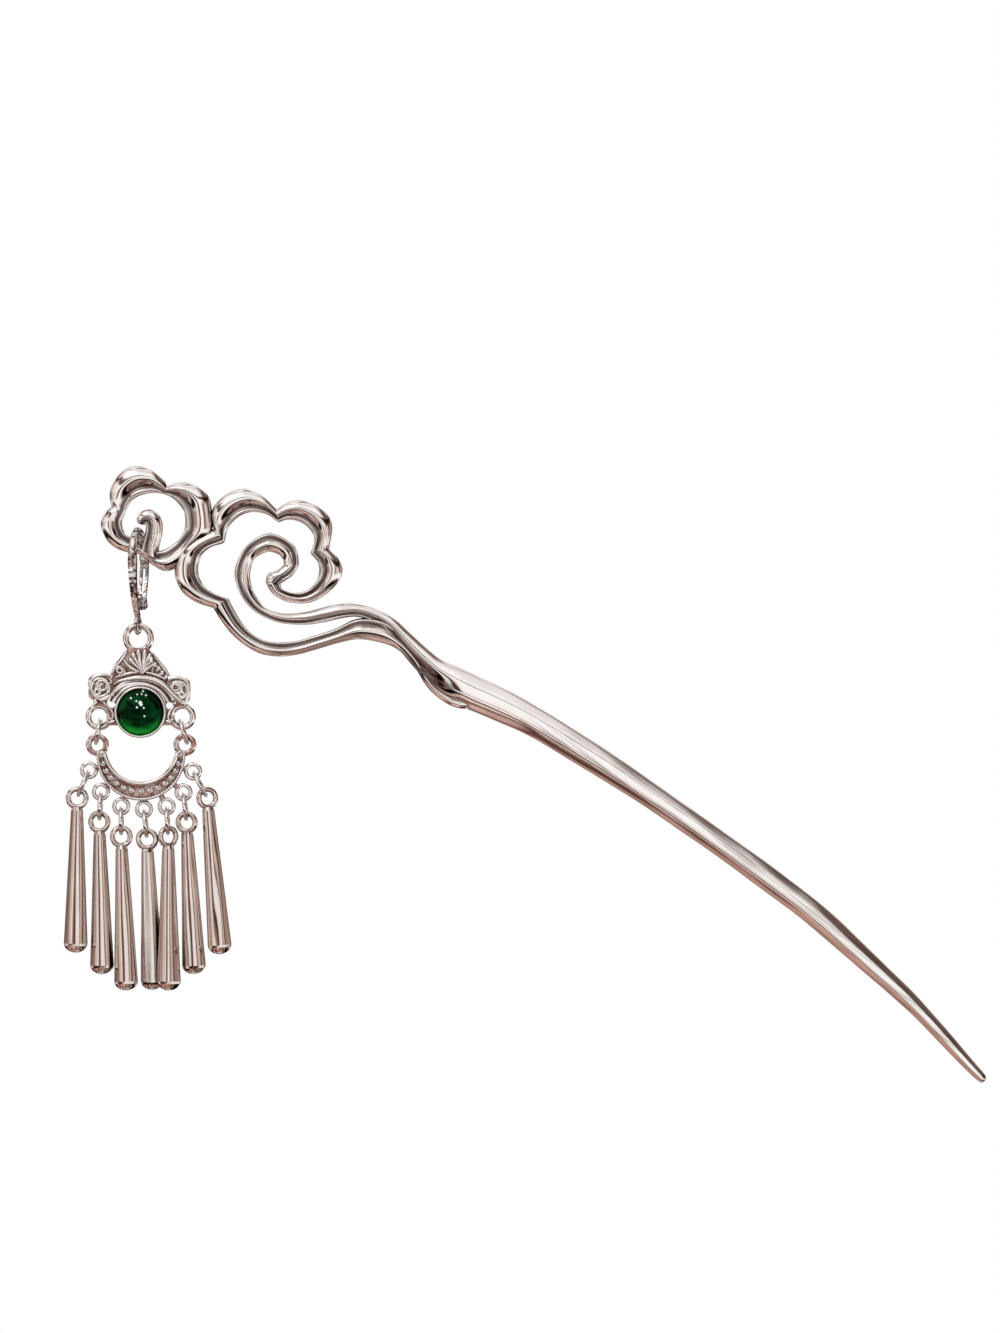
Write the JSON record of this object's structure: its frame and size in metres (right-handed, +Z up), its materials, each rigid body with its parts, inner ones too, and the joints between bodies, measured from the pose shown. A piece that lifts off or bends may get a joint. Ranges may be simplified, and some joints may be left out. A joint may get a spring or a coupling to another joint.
{
  "type": "hanfu hairpin",
  "caption": "Silver-coloured openwork cloud hairpin with a curved stem, and a swinging pendant: hook clasp, green round stone, beaded crescent and a fringe of drop bars.",
  "frame": {"origin": "on the stem's centreline, where the hair grips it", "axes": "+X from the openwork towards the stem's tip side, +Z up as the openwork is looked at, -Y towards the viewer"},
  "size_m": [0.1586, 0.0097, 0.1062],
  "materials": {
    "silver": "polished",
    "green_stone": "polished"
  },
  "bodies": {
    "pin": {"pin": "silver"},
    "clasp": {"clasp_hook": "silver"},
    "lever": {"clasp_lever": "silver"},
    "pendant": {"finial": "silver", "cabochon": "green_stone", "side_link_left": "silver", "side_link_right": "silver", "crescent": "silver", "jump_ring_1": "silver", "jump_ring_2": "silver", "jump_ring_3": "silver", "jump_ring_4": "silver", "jump_ring_5": "silver", "jump_ring_6": "silver", "jump_ring_7": "silver", "drop_bar_1": "silver", "drop_bar_2": "silver", "drop_bar_3": "silver", "drop_bar_4": "silver", "drop_bar_5": "silver", "drop_bar_6": "silver", "drop_bar_7": "silver"}
  },
  "joints": [
    {"name": "hook_swing", "type": "hinge", "parent": "pin", "child": "clasp", "pos_m": [-0.0967, 0, 0.04875], "axis": [0.9816, -0.1908, 0], "range_deg": [-35, 35]},
    {"name": "lever_hinge", "type": "hinge", "parent": "clasp", "child": "lever", "pos_m": [-0.09638, 0.00167, 0.03855], "axis": [-0.9816, 0.1908, 0], "range_deg": [0, 55]},
    {"name": "pendant_swing", "type": "hinge", "parent": "clasp", "child": "pendant", "pos_m": [-0.0967, 0, 0.0338], "axis": [0.1908, 0.9816, 0], "range_deg": [-40, 40]}
  ]
}
